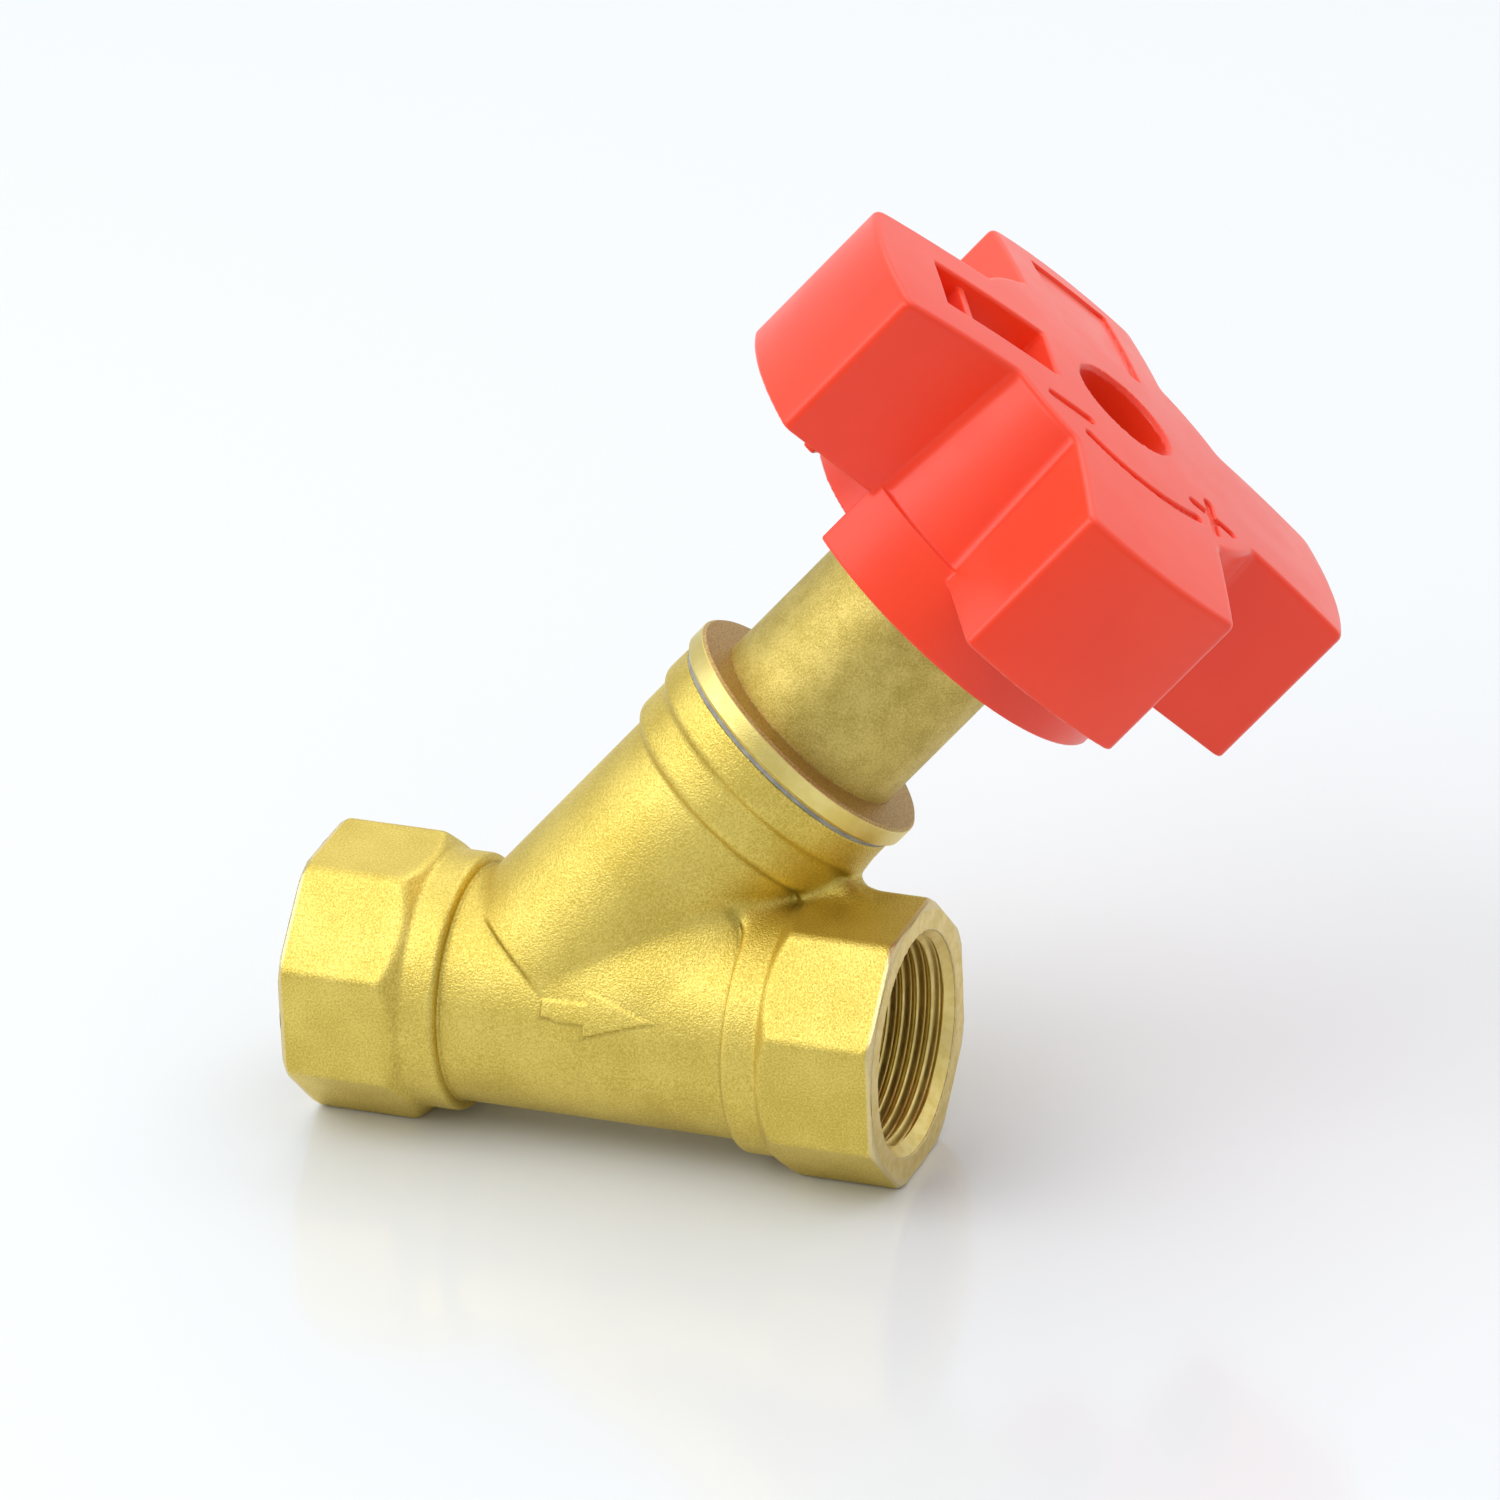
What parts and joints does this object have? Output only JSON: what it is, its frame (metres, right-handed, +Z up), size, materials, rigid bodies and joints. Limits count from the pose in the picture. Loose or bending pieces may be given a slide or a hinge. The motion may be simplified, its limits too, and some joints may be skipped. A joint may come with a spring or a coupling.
{
  "type": "oblique globe valve",
  "caption": "Brass Y-pattern throttling and shut-off valve with octagonal threaded ports and a red four-lobed handwheel with a turn-counter window.",
  "frame": {"origin": "centre of the inlet port's face, on the run axis", "axes": "+X along the run axis from the inlet to the outlet, +Z up; the valve rests on one flat of each octagonal port, so the branch, 50 degrees above the run axis, leans back 22.5 degrees towards +Y"},
  "size_m": [0.1181, 0.0811, 0.1129],
  "materials": {
    "cast_brass": "shot-blasted sand casting, machined on the port faces, bores and threads",
    "turned_brass": "turned, slightly rough and darker than the casting",
    "machined_brass": "machined and bright",
    "red_plastic": "glossy injection-moulded nylon",
    "white_plastic": "moulded acetal",
    "grey_plastic": "moulded nylon",
    "steel": "plain stainless steel",
    "rubber": "EPDM rubber",
    "ptfe": "PTFE",
    "fibre": "pressed fibre"
  },
  "bodies": {
    "valve_body": {"body": "cast_brass", "bonnet": "turned_brass", "bonnet_gasket": "fibre", "gland_nut": "machined_brass", "lower_thrust_washer": "ptfe", "upper_thrust_washer": "ptfe", "spindle_o_rings": "rubber", "index_gear": "white_plastic", "tenths_dial": "white_plastic"},
    "handwheel": {"handwheel": "red_plastic", "spindle": "machined_brass", "retaining_clip": "steel", "gear_carrier": "grey_plastic", "idler_pin": "steel"},
    "idler": {"idler_gear": "white_plastic"},
    "turns_dial": {"turns_dial": "white_plastic"},
    "memory_stop": {"stop_screw": "steel", "stop_screw_o_ring": "rubber"},
    "plug": {"plug": "machined_brass", "seat_seal": "rubber", "throttle_cone": "machined_brass", "plug_screw": "steel"}
  },
  "joints": [
    {"name": "handwheel_turn", "type": "hinge", "parent": "valve_body", "child": "handwheel", "pos_m": [0.07892, 0.02345, 0.05662], "axis": [0.6428, 0.2932, 0.7077], "range_deg": [0, 1440]},
    {"name": "plug_lift", "type": "slide", "parent": "valve_body", "child": "plug", "axis": [0.6428, 0.2932, 0.7077], "range_m": [0, 0.008]},
    {"name": "idler_spin", "type": "hinge", "parent": "handwheel", "child": "idler", "pos_m": [0.09203, 0.03123, 0.04856], "axis": [0.6428, 0.2932, 0.7077], "range_deg": [0, 1200]},
    {"name": "turns_dial_spin", "type": "hinge", "parent": "handwheel", "child": "turns_dial", "pos_m": [0.08664, 0.02697, 0.06511], "axis": [0.6428, 0.2932, 0.7077], "range_deg": [0, 144]},
    {"name": "memory_stop_travel", "type": "slide", "parent": "handwheel", "child": "memory_stop", "axis": [0.6428, 0.2932, 0.7077], "range_m": [-0.008, 0]}
  ],
  "couplings": [
    {"joint": "plug_lift", "follows": "handwheel_turn", "m_per_rad": 0.00031831},
    {"joint": "idler_spin", "follows": "handwheel_turn", "ratio": 0.83333},
    {"joint": "turns_dial_spin", "follows": "handwheel_turn", "ratio": 0.1}
  ]
}
